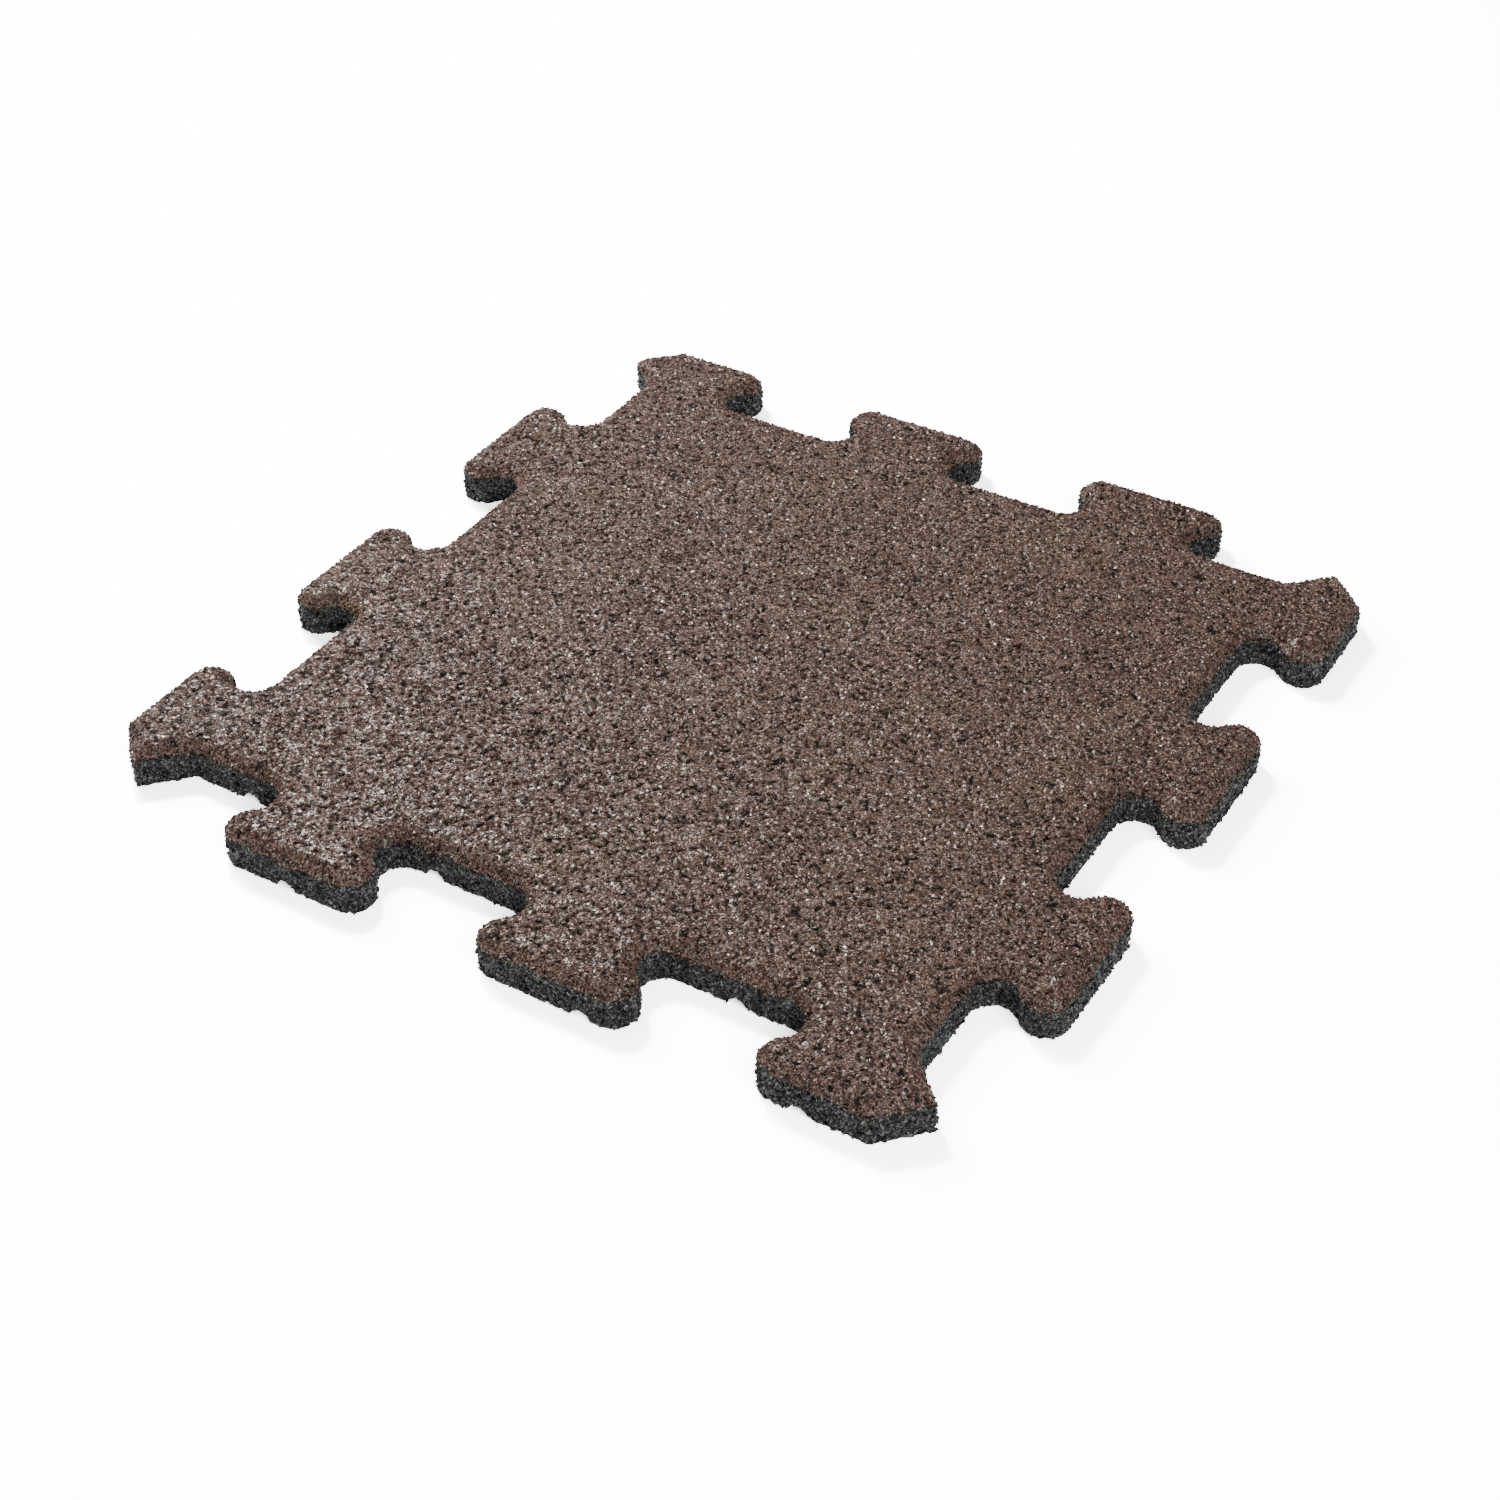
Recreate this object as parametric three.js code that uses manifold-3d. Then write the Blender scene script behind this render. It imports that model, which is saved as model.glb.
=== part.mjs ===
// Interlocking rubber tile: a square tile of pressed rubber granulate with puzzle tabs and sockets all round,
// a coloured wear layer with a chamfered edge, and a dark base layer with drainage channels in its underside.
// Millimetres, +Z up. The origin is the middle of the underside, and +X runs along the front side.
import * as THREE from "three";
import { mergeVertices } from "three/addons/utils/BufferGeometryUtils.js";
import Module from "manifold-3d";

// Plan of the tile
const pitch = 500; // from seam to seam: one tile covers a square of this size
const tabDepth = 47; // from a socket's floor to a tab's end, half of it beyond the seam
const tabOverhang = 5.3; // of a tab's end past its neck, at each flank
const flankRadius = 13; // of the rounded tab corners and socket corners
const cornerCell = 85; // from the corner of the square to the first flank
const flanksPerSide = 5; // an odd number, so that each side starts with a socket and ends with a tab
const seamClearance = 0.5; // between two tiles that lie together, half of it on each

// Section of the tile
const thickness = 25;
const wearThickness = 8; // of the coloured layer on top
const chamfer = 6; // along the top edge, equal in width and height

// Drainage channels in the underside, open at the front and at the back
const channelSpacing = 62.5;
const channelsEachSide = 3; // left and right of the middle, which has none
const channelWidth = 12;
const channelDepth = 4.5;

// Fineness and helpers for cutting
const flankSteps = 8; // straight steps in each rounded corner
const channelSteps = 8;
const overrun = 10; // how far a cutting body reaches past what it cuts
const mergeDistance = 1e-4;

const halfClearance = seamClearance / 2;
const socketFloor = (pitch - tabDepth) / 2 - halfClearance; // from the middle of the tile
const tabEnd = (pitch + tabDepth) / 2 - halfClearance;
const cellWidth = (pitch - 2 * cornerCell) / (flanksPerSide - 1);
const interfaceHeight = thickness - wearThickness; // where the two layers meet

const wasm = await Module();
wasm.setup();

function arcPoints(centreX, centreY, radius, from, to, steps) {
  const points = [];
  for (let i = 0; i <= steps; i++) {
    const angle = from + ((to - from) * i) / steps;
    points.push(
      new THREE.Vector2(
        centreX + radius * Math.cos(angle),
        centreY + radius * Math.sin(angle),
      ),
    );
  }
  return points;
}

// One flank of the front side, from a socket's floor on the left to a tab's end on the right: a rounded socket
// corner, a straight stretch across the seam and a rounded tab corner, each running smoothly into the next.
// The radius is limited to the largest that leaves room for both corners in the depth of the tab.
function flankPoints(seamX) {
  const seamY = -pitch / 2;
  const largestRadius = tabOverhang + tabDepth / 2 - Math.sqrt(tabOverhang * tabDepth);
  const radius = Math.min(flankRadius, largestRadius);
  const centreShift = radius - tabOverhang;
  const centreRise = tabDepth / 2 - radius;
  const centreDistance = Math.hypot(centreShift, centreRise);
  const halfStraight = Math.sqrt(Math.max(centreDistance ** 2 - radius ** 2, 0));
  const leaveAngle = Math.atan2(halfStraight, radius) - Math.atan2(centreRise, centreShift);
  const socketCorner = arcPoints(
    seamX - centreShift,
    seamY + centreRise,
    radius + halfClearance,
    Math.PI / 2,
    leaveAngle,
    flankSteps,
  );
  const tabCorner = arcPoints(
    seamX + centreShift,
    seamY - centreRise,
    radius - halfClearance,
    Math.PI + leaveAngle,
    (3 * Math.PI) / 2,
    flankSteps,
  );
  const cornersTouch = halfStraight < mergeDistance;
  return socketCorner.concat(cornersTouch ? tabCorner.slice(1) : tabCorner);
}

// The same flank the other way round, from a tab's end on the left to a socket's floor on the right.
function mirroredFlankPoints(seamX) {
  return flankPoints(0)
    .reverse()
    .map((p) => new THREE.Vector2(seamX - p.x, p.y));
}

// The front side from left to right: five flanks, then the corner tab's end, cut off at 45 degrees.
function frontSidePoints() {
  const points = [];
  for (let i = 0; i < flanksPerSide; i++) {
    const seamX = -pitch / 2 + cornerCell + i * cellWidth;
    const flank = i % 2 === 0 ? flankPoints(seamX) : mirroredFlankPoints(seamX);
    points.push(...flank);
  }
  const setBack = halfClearance * Math.SQRT2;
  points.push(
    new THREE.Vector2(pitch - setBack - tabEnd, -tabEnd),
    new THREE.Vector2(pitch / 2 - setBack, -pitch / 2),
    new THREE.Vector2(socketFloor, -socketFloor - setBack),
  );
  return points;
}

// All four sides are the same, each a quarter turn further on.
function tileOutline() {
  const side = frontSidePoints();
  const quarterTurns = [
    [1, 0],
    [0, 1],
    [-1, 0],
    [0, -1],
  ];
  const turned = quarterTurns.map(([c, s]) =>
    side.map((p) => new THREE.Vector2(c * p.x - s * p.y, s * p.x + c * p.y)),
  );
  return new THREE.Shape(turned.flat());
}

function solidOf(geometry) {
  const bare = geometry.clone();
  bare.deleteAttribute("normal");
  bare.deleteAttribute("uv");
  const merged = mergeVertices(bare, mergeDistance);
  return new wasm.Manifold(
    new wasm.Mesh({
      numProp: 3,
      vertProperties: merged.attributes.position.array,
      triVerts: Uint32Array.from(merged.index.array),
    }),
  );
}

function geometryOf(solid) {
  const mesh = solid.getMesh();
  const indexed = new THREE.BufferGeometry();
  indexed.setAttribute(
    "position",
    new THREE.BufferAttribute(mesh.vertProperties, 3),
  );
  indexed.setIndex(new THREE.BufferAttribute(mesh.triVerts, 1));
  const faceted = indexed.toNonIndexed();
  faceted.computeVertexNormals();
  return faceted;
}

// The wear layer: an extrusion with chamfered ends, of which the lower end is cut away.
function wearLayer() {
  const cutHeight = chamfer + 2 * overrun;
  const whole = new THREE.ExtrudeGeometry(tileOutline(), {
    depth: wearThickness - chamfer + overrun,
    bevelEnabled: true,
    bevelThickness: chamfer,
    bevelSize: chamfer,
    bevelOffset: -chamfer,
    bevelSegments: 1,
  });
  whole.translate(0, 0, interfaceHeight - overrun);
  const cutaway = new THREE.BoxGeometry(2 * pitch, 2 * pitch, cutHeight);
  cutaway.translate(0, 0, interfaceHeight - cutHeight / 2);
  return geometryOf(solidOf(whole).subtract(solidOf(cutaway)));
}

// A channel's cutter: a round-topped section that runs the whole way from front to back.
function channelCutter(channelX) {
  const halfWidth = channelWidth / 2;
  const radius = (halfWidth ** 2 + channelDepth ** 2) / (2 * channelDepth);
  const centreHeight = channelDepth - radius;
  const start = Math.atan2(-centreHeight, halfWidth);
  const section = arcPoints(0, centreHeight, radius, start, Math.PI - start, channelSteps);
  section.push(new THREE.Vector2(-halfWidth, -overrun), new THREE.Vector2(halfWidth, -overrun));
  const length = 2 * (tabEnd + overrun);
  const cutter = new THREE.ExtrudeGeometry(new THREE.Shape(section), {
    depth: length,
    bevelEnabled: false,
  });
  cutter.rotateX(Math.PI / 2);
  cutter.translate(channelX, length / 2, 0);
  return solidOf(cutter);
}

function baseLayer() {
  let solid = solidOf(
    new THREE.ExtrudeGeometry(tileOutline(), {
      depth: interfaceHeight,
      bevelEnabled: false,
    }),
  );
  for (let i = 1; i <= channelsEachSide; i++) {
    solid = solid.subtract(channelCutter(-i * channelSpacing));
    solid = solid.subtract(channelCutter(i * channelSpacing));
  }
  return geometryOf(solid);
}

function namedMesh(name, geometry, color, roughness) {
  const material = new THREE.MeshStandardMaterial({ color, roughness, metalness: 0 });
  const mesh = new THREE.Mesh(geometry, material);
  mesh.name = name;
  return mesh;
}

const tile = new THREE.Group();
tile.add(namedMesh("wear_layer", wearLayer(), 0x65564e, 0.75));
tile.add(namedMesh("base_layer", baseLayer(), 0x2f3231, 0.85));

export default tile;
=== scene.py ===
import math

import bmesh
import bpy
import numpy as np
from bpy.props import FloatProperty, FloatVectorProperty, IntProperty, PointerProperty
from mathutils import Matrix, Vector
from mathutils.geometry import delaunay_2d_cdt


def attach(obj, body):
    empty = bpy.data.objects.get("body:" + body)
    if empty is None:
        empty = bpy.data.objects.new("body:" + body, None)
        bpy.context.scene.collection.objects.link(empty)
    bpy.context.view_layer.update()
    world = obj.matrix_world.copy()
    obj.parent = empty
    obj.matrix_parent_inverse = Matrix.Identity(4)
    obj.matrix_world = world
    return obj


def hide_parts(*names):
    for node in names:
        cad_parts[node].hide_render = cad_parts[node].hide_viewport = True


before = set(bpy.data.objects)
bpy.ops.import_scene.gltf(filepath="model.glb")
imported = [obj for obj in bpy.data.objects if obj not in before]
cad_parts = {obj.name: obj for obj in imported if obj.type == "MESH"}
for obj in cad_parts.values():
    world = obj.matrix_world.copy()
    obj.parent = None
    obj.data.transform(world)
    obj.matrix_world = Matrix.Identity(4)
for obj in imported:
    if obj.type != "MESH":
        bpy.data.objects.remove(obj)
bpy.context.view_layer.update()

bl_info = {
    "name": "Rubber Tile",
    "version": (1, 0, 0),
    "blender": (4, 5, 0),
    "location": "3D View > Sidebar > Rubber Tile",
    "description": "Gives an interlocking rubber tile its surfaces of pressed crumbs",
    "category": "Object",
}

MM = 0.001
MERGE_DISTANCE = 1e-6
FLOOR_REACH = 30  # from the tile's middle to each side of the floor
NODE_STEP = 180  # from one node to the next in the editor

# What the triangulation makes, the triangles inside the edges, and the least distance it tells apart
INSIDE_ONLY = 1
TRIANGULATION_LIMIT = 1e-9

# How the points of the rough surfaces lie, as shares of the spacing, of the pit depth or of the height
OUTLINE_MARGIN = 0.55  # kept free inside the outline
LEVEL_MARGIN = 0.5  # kept free of the top's points, inside the chamfer
CREASE_OVERLAP = 0.2  # how far the chamfer's points run on over the top
LINE_MARGIN = 0.5  # kept free of other points on both sides of a channel's lines
POINT_SLIDE = 0.3  # how far the points of walls and channels slide
SHALLOWEST_PIT = 0.3
RAISED_FOOT = 0.5  # the most that the foot of the side faces rises off the floor
BROWN_PITS = 0.6  # depth of the pits in the brown strip of the side faces
BROWN_PROUD = 0.5  # how far the same strip stands out, as a share of the dark one

# Section of a channel: where its points lie, as shares of half its width
CHANNEL_POINTS = (-1, -0.93, -0.75, -0.4, 0, 0.4, 0.75, 0.93, 1)

# Fixed numbers of a crumb's shape, as shares of its size, and of its material
SMALLEST_CRUMB = (0.55, 0.45, 0.35)
LARGEST_CRUMB = (1.15, 0.95, 0.8)
CRUMB_DENSITY = 1.2  # crumbs tried in each square of the spacing
CRUMB_TONE = 0.75  # share of a facet's tone that comes from its crumb
TONE_SEED = 5
GLOSS_SEED = 6
BUMP_DISTANCE = 0.12 * MM
BUMP_STRENGTH = 0.6
COAT_ROUGHNESS = 0.3
JAG_WAVES = 1.3  # of the noise that makes a crumb jagged, in its size
JAG_REACH = 4.0  # how far that noise moves a corner, from its lowest to its highest, for a jaggedness of 1

# Ranges in the node groups: from where to where a value counts, and what it turns into if not 0 to 1
DRIFT_NOISE = (0.35, 0.65, -1.0, 1.0)
BODY_TONES = (0.2, 0.45)
PALE_TONES = (0.55, 0.85)
STRAY_CHIPS = (0.8, 1.0, 0.0, 0.6)
STRAY_MOTTLE = (0.5, 0.7, 0.0, 0.35)
# Painted glints: the chips highest in blue take a bright colour that stands for light glancing off glossy
# faces
PAINTED_GLINT_CHIPS = (0.93, 0.95)
MOTTLE_SHADE = (0.3, 0.7, 0.92, 1.08)
GRAIN_SHADE = (0.3, 0.7, 0.6, 1.4)
# Painted shade of small pits and cracks: the chips lowest in blue are darkened to 6% of their colour
PIT_SHADE_CHIPS = (0.17, 0.22, 0.06, 1.0)
# Painted shade in the crevices between chips: near a chip's edge the colour falls to a quarter
CREVICE_SHADE = (0.0, 0.15, 0.25, 1.0)
CREVICE_HEIGHT = (0.0, 0.2)
PIT_RANGE = (0.35, 0.75)
GLOSSY_FACES = (0.35, 0.8)
GLOSSY_CHIPS = (0.45, 0.7)
CHIP_ROUGHNESS = (0.35, 0.7, 0.85, 0.42)

# Painted shade in the pits: what is left of the colour at a pit, and what pits and glints add to the
# roughness
PIT_SHADE = 0.04
PIT_ROUGHNESS = 0.35
GLINT_ROUGHNESS = -0.1

# Settings in which a layer or a piece of crumbs differs from its group's defaults
OWN_VALUES = {
    "base": {
        "deep": (0.006, 0.007, 0.007),
        "body": (0.041, 0.0455, 0.0435),
        "pale": (0.15, 0.163, 0.157),
        "stray": (0.036, 0.048, 0.04),
        # Painted glints on the dark side's crumbs
        "speck": (0.18, 0.19, 0.185),
        "specular": 0.15,
    },
    "brown_top_crumbs": {
        "spacing": 2.7 * MM,
        "size": 2 * MM,
        "flatness": 0.7,
        "tilt": 0.3,
        "stand": 0.12 * MM,
    },
    "brown_chamfer_crumbs": {
        "spacing": 2.1 * MM,
        "size": 2 * MM,
        "flatness": 0.75,
        "tilt": 0.6,
        # Painted light: the chamfer and its crumbs are made lighter, as if more light fell on them
        "lift": 0.5,
    },
    "brown_edge_crumbs": {"lowest": 17.8 * MM, "ragged": 1 * MM, "drift": 1 * MM},
    "brown_stray_crumbs": {
        "spacing": 2.2 * MM,
        "size": 2.1 * MM,
        "lowest": 17 * MM,
        "ragged": 2.5 * MM,
        "drift": 2 * MM,
    },
    "dark_side_crumbs": {"size": 2.5 * MM},
    "dark_edge_crumbs": {"highest": 18.4 * MM, "ragged": 1.4 * MM, "drift": 2 * MM},
    "dark_chamfer_crumbs": {
        "spacing": 2.2 * MM,
        "size": 2 * MM,
        "flatness": 0.7,
        "tilt": 0.5,
        "highest": 19 * MM,
        "ragged": 1.8 * MM,
    },
}

# A layer's colours, which LayerColours describes
SHADES = ("deep", "body", "pale", "stray", "speck")

# Zones of a layer's faces, kept in the face attribute "zone"
HIDDEN_ZONE = 0
LEVEL_ZONE = 1
CHAMFER_ZONE = 2
WALL_ZONE = 3


def levels_of(node):
    """The heights of a CAD node's corners, from the lowest up."""
    return sorted({round(v.co.z, 5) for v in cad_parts[node].data.vertices})


# Heights in the tile's section, from the frame
INTERFACE = levels_of("wear_layer")[0]
CHAMFER_FOOT = levels_of("wear_layer")[1]
TOP = levels_of("wear_layer")[-1]
CHAMFER = TOP - CHAMFER_FOOT


def outline_of(node, height):
    """The outline of a CAD node's level face at a height: its corners in order, anticlockwise from above."""
    merged = bmesh.new()
    merged.from_mesh(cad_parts[node].data)
    bmesh.ops.remove_doubles(merged, verts=merged.verts, dist=MERGE_DISTANCE)
    level = {f for f in merged.faces if all(abs(v.co.z - height) < MERGE_DISTANCE for v in f.verts)}
    following = {}
    for face in level:
        for loop in face.loops:
            if any(other not in level for other in loop.edge.link_faces):
                following[loop.vert] = loop.link_loop_next.vert
    first = min(following, key=lambda v: (round(v.co.x, 6), round(v.co.y, 6)))
    corners = [first]
    while following[corners[-1]] is not first:
        corners.append(following[corners[-1]])
    outline = np.array([v.co.xy for v in corners])
    merged.free()
    return outline


def sides_of(outline):
    """The straight sides of an outline, as pairs of corners."""
    return zip(outline, np.roll(outline, -1, axis=0))


def distance_to(outline, points):
    """Each point's distance to the outline."""
    least = np.full(len(points), np.inf)
    for start, end in sides_of(outline):
        along = end - start
        share = np.clip((points - start) @ along / (along @ along), 0, 1)
        foot = start + share[:, None] * along
        least = np.minimum(least, ((points - foot) ** 2).sum(axis=1))
    return np.sqrt(least)


def rounded_least(values, limit, radius):
    """The lesser of each value and the limit, with the bend between them rounded off."""
    near = np.clip(1 - np.abs(values - limit) / (2 * radius), 0, 1)
    return np.minimum(values, limit) - near**2 * radius / 2


def is_inside(outline, points):
    """Whether each point lies inside the outline."""
    inside = np.zeros(len(points), bool)
    for start, end in sides_of(outline):
        if start[1] == end[1]:
            continue
        spanned = (start[1] > points[:, 1]) != (end[1] > points[:, 1])
        crossing = start[0] + (points[:, 1] - start[1]) * (end[0] - start[0]) / (end[1] - start[1])
        inside ^= spanned & (points[:, 0] < crossing)
    return inside


def ring_round(outline, spacing, cuts):
    """Points along the outline, at most a spacing apart, with one wherever it crosses a line x = cut."""
    ring = []
    for start, end in sides_of(outline):
        length = np.linalg.norm(end - start)
        steps = math.ceil(length / spacing)
        shares = [(x - start[0]) / (end[0] - start[0]) for x in cuts if (x - start[0]) * (x - end[0]) < 0]
        crossings = np.array(shares)
        for step in range(steps):
            share = step / steps
            clear = np.all(np.abs(crossings - share) * length > spacing / 2)
            if step == 0 or clear:
                shares.append(share)
        ring += [start + share * (end - start) for share in sorted(shares)]
    return np.array(ring)


def outward_normals(ring):
    """The level direction out of an anticlockwise ring at each of its points."""
    along = np.roll(ring, -1, axis=0) - np.roll(ring, 1, axis=0)
    out = np.stack([along[:, 1], -along[:, 0]], axis=1)
    return out / np.linalg.norm(out, axis=1)[:, None]


def scattered_points(outline, spacing, looseness, rng):
    """Points inside the outline on a loose triangular grid, with room to the outline."""
    low = outline.min(axis=0)
    high = outline.max(axis=0)
    row_height = spacing * math.sqrt(3) / 2
    row_count = math.ceil((high[1] - low[1]) / row_height)
    column_count = math.ceil((high[0] - low[0]) / spacing)
    rows, columns = np.mgrid[0:row_count, 0:column_count]
    points = np.stack([(columns + rows % 2 / 2) * spacing, rows * row_height], axis=-1).reshape(-1, 2) + low
    points += rng.uniform(-looseness, looseness, points.shape) * spacing
    points = points[is_inside(outline, points)]
    distance = distance_to(outline, points)
    kept = distance > spacing * OUTLINE_MARGIN
    return points[kept], distance[kept]


def triangles_inside(points, ring_length):
    """Triangles between the points, inside the ring that the first of them form, anticlockwise from above."""
    edges = [(i, (i + 1) % ring_length) for i in range(ring_length)]
    corners = [Vector(p) for p in points]
    made = delaunay_2d_cdt(corners, edges, [], INSIDE_ONLY, TRIANGULATION_LIMIT)
    origins = np.array([sources[0] if sources else -1 for sources in made[3]])
    triangles = origins[np.array(made[2])]
    a, b, c = (points[triangles[:, i]] for i in range(3))
    turned = (b[:, 0] - a[:, 0]) * (c[:, 1] - a[:, 1]) < (b[:, 1] - a[:, 1]) * (c[:, 0] - a[:, 0])
    triangles[turned] = triangles[turned][:, ::-1]
    return triangles


def crumb_relief(count, pit_share, pit_depth, unevenness, rng):
    """How deep each point lies under the pressed surface, and how strongly it claims the facets round it.
    The weakest points are the pits between crumbs, and the others are the crumbs' own corners."""
    strength = rng.random(count)
    depth = np.abs(rng.normal(0, unevenness, count))
    pits = strength < pit_share
    depth[pits] = pit_depth * rng.uniform(SHALLOWEST_PIT, 1, pits.sum())
    return depth, strength


def wall_relief(rows, length, pit_depth, sizes, rng):
    """The depth and strength of a wall's points, row by row."""
    return [crumb_relief(length, sizes.pit_share, pit_depth, sizes.unevenness, rng) for _ in range(rows + 1)]


def wall_of(ring, foot, head, relief, proud, rng):
    """A rough wall over a ring, from the foot heights to the head height, as rows of points.
    They stand proud of the ring's line by a distance, less the depths in the relief."""
    rows = len(relief) - 1
    out = outward_normals(ring)
    along = np.stack([-out[:, 1], out[:, 0]], axis=1)
    spacing = np.linalg.norm(np.roll(ring, -1, axis=0) - ring, axis=1)
    slide = np.minimum(spacing, np.roll(spacing, 1))
    wall = np.zeros((rows + 1, len(ring), 3))
    for row in range(rows + 1):
        shift = rng.uniform(-POINT_SLIDE, POINT_SLIDE, len(ring)) * slide
        depth = relief[row][0] - proud
        wall[row, :, :2] = ring - out * depth[:, None] + along * shift[:, None]
        lift = np.zeros(len(ring))
        if 0 < row < rows:
            lift = rng.uniform(-POINT_SLIDE, POINT_SLIDE, len(ring))
        wall[row, :, 2] = foot + (head - foot) * (row + lift) / rows
    return wall


def wall_triangles(rows, length, rng):
    """Two triangles in each cell of a wall, split along either diagonal, facing out."""
    row, column = np.mgrid[0:rows, 0:length].reshape(2, -1)
    after = (column + 1) % length
    lower, lower_next = row * length + column, row * length + after
    upper, upper_next = lower + length, lower_next + length
    rising = rng.random(len(row)) < 0.5
    first = np.stack([lower, lower_next, np.where(rising, upper_next, upper)], 1)
    second = np.stack([np.where(rising, lower, lower_next), upper_next, upper], 1)
    return np.concatenate([first, second])


def triangle_mesh(name, points, triangles):
    """A flat-shaded mesh from arrays."""
    mesh = bpy.data.meshes.new(name)
    mesh.vertices.add(len(points))
    mesh.vertices.foreach_set("co", points.astype(np.float32).ravel())
    mesh.loops.add(triangles.size)
    mesh.loops.foreach_set("vertex_index", triangles.astype(np.int32).ravel())
    mesh.polygons.add(len(triangles))
    mesh.polygons.foreach_set("loop_start", np.arange(0, triangles.size, 3, dtype=np.int32))
    mesh.update(calc_edges=True)
    mesh.shade_flat()
    return mesh


def keep_values(mesh, name, domain, values, kind="FLOAT"):
    """Stores one number for each point or face."""
    attribute = mesh.attributes.new(name, kind, domain)
    attribute.data.foreach_set("value", values)


def finish_layer(name, points, faces_by_zone, relief, sizes, rng):
    """A layer's object, with its facets' tone and gloss and its points' pits as attributes; the tone holds
    painted shade on the side faces and painted light on the chamfer.
    faces_by_zone holds pairs of triangles and their zones, and relief pairs of depths and strengths."""
    triangles = np.concatenate([faces for faces, _ in faces_by_zone])
    zones = np.concatenate([np.broadcast_to(zone, len(faces)) for faces, zone in faces_by_zone])
    pits = np.concatenate([depth for depth, _ in relief]) / sizes.pit_depth
    strength = np.concatenate([strength for _, strength in relief])
    mesh = triangle_mesh(name, points, triangles)
    owner = triangles[np.arange(len(triangles)), strength[triangles].argmax(axis=1)]
    tone = rng.random(len(points))[owner] * CRUMB_TONE + rng.random(len(triangles)) * (1 - CRUMB_TONE)
    # Painted shade in the gaps between the loose crumbs: the side faces, which show between them, get a lower
    # tone
    tone[zones == WALL_ZONE] *= sizes.painted_gap_shade
    # Painted light on the chamfer: its facets take the chamfer crumbs' lift and come out lighter, as if more
    # light fell there
    tone[zones == CHAMFER_ZONE] += bpy.context.scene.rubber_tile.brown_chamfer_crumbs.lift
    keep_values(mesh, "tone", "FACE", tone.astype(np.float32))
    keep_values(mesh, "gloss", "FACE", rng.random(len(triangles)).astype(np.float32))
    keep_values(mesh, "pit", "POINT", pits.astype(np.float32))
    keep_values(mesh, "zone", "FACE", zones.astype(np.int32), "INT")
    layer = bpy.data.objects.new(name, mesh)
    bpy.context.scene.collection.objects.link(layer)
    return layer


def channel_height(sizes, x):
    """The underside's height over the floor at each x: an arc over each channel, and nothing beside it."""
    half_width = sizes.channel_width / 2
    radius = (half_width**2 + sizes.channel_depth**2) / (2 * sizes.channel_depth)
    nth = np.clip(np.abs(np.round(x / sizes.channel_spacing)), 1, sizes.channels_each_side)
    aside = np.minimum(np.abs(np.abs(x) - nth * sizes.channel_spacing), half_width)
    return np.sqrt(radius**2 - aside**2) - (radius - sizes.channel_depth)


def channel_lines(sizes):
    """The x of each line that a channel's section needs points on."""
    half_width = sizes.channel_width / 2
    across = np.array(CHANNEL_POINTS) * half_width
    centres = [i * sizes.channel_spacing for i in range(1, sizes.channels_each_side + 1)]
    return np.array([side * c + offset for c in centres for side in (-1, 1) for offset in across])


def feed(tree, socket, value):
    """Gives an input socket a value or another node's output."""
    if isinstance(value, bpy.types.NodeSocket):
        tree.links.new(value, socket)
    else:
        socket.default_value = value


def add_node(tree, kind, inputs=None, **settings):
    """A node with its settings, whose inputs, by name or number, take values or other nodes' outputs."""
    node = tree.nodes.new(kind)
    node.location = (NODE_STEP * len(tree.nodes), 0)
    for name, value in settings.items():
        setattr(node, name, value)
    for key, value in (inputs or {}).items():
        feed(tree, node.inputs[key], value)
    return node


def calculate(tree, operation, *values):
    """A Math node's result."""
    node = add_node(tree, "ShaderNodeMath", dict(enumerate(values)), operation=operation)
    return node.outputs[0]


def remap(tree, value, from_low, from_high, to_low=0.0, to_high=1.0):
    """A value carried from one range to another, held at its ends."""
    source = {"Value": value, "From Min": from_low, "From Max": from_high}
    target = {"To Min": to_low, "To Max": to_high}
    return add_node(tree, "ShaderNodeMapRange", {**source, **target}).outputs["Result"]


def noise(tree, place, scale, detail):
    """A noise texture's node."""
    return add_node(tree, "ShaderNodeTexNoise", {"Vector": place, "Scale": scale, "Detail": detail})


def mix_colours(tree, factor, first, second, blend="MIX"):
    """A Mix node's colour."""
    node = add_node(tree, "ShaderNodeMix", {"Factor": factor}, data_type="RGBA", blend_type=blend)
    for name, value in (("A", first), ("B", second)):
        feed(tree, next(s for s in node.inputs if s.name == name and s.type == "RGBA"), value)
    return next(s for s in node.outputs if s.type == "RGBA")


def combine(tree, x, y, z):
    """A vector from three values."""
    return add_node(tree, "ShaderNodeCombineXYZ", {0: x, 1: y, 2: z}).outputs[0]


def new_group(name, kind, inputs, outputs):
    """A node group with named sockets, and its input and output nodes.
    inputs holds (name, type, default or None), and outputs (name, type)."""
    tree = bpy.data.node_groups.new(name, kind)
    for socket_name, socket_type, default in inputs:
        socket = tree.interface.new_socket(socket_name, in_out="INPUT", socket_type=socket_type)
        if default is not None:
            socket.default_value = default
    for socket_name, socket_type in outputs:
        tree.interface.new_socket(socket_name, in_out="OUTPUT", socket_type=socket_type)
    return tree, tree.nodes.new("NodeGroupInput").outputs, tree.nodes.new("NodeGroupOutput").inputs


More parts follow.
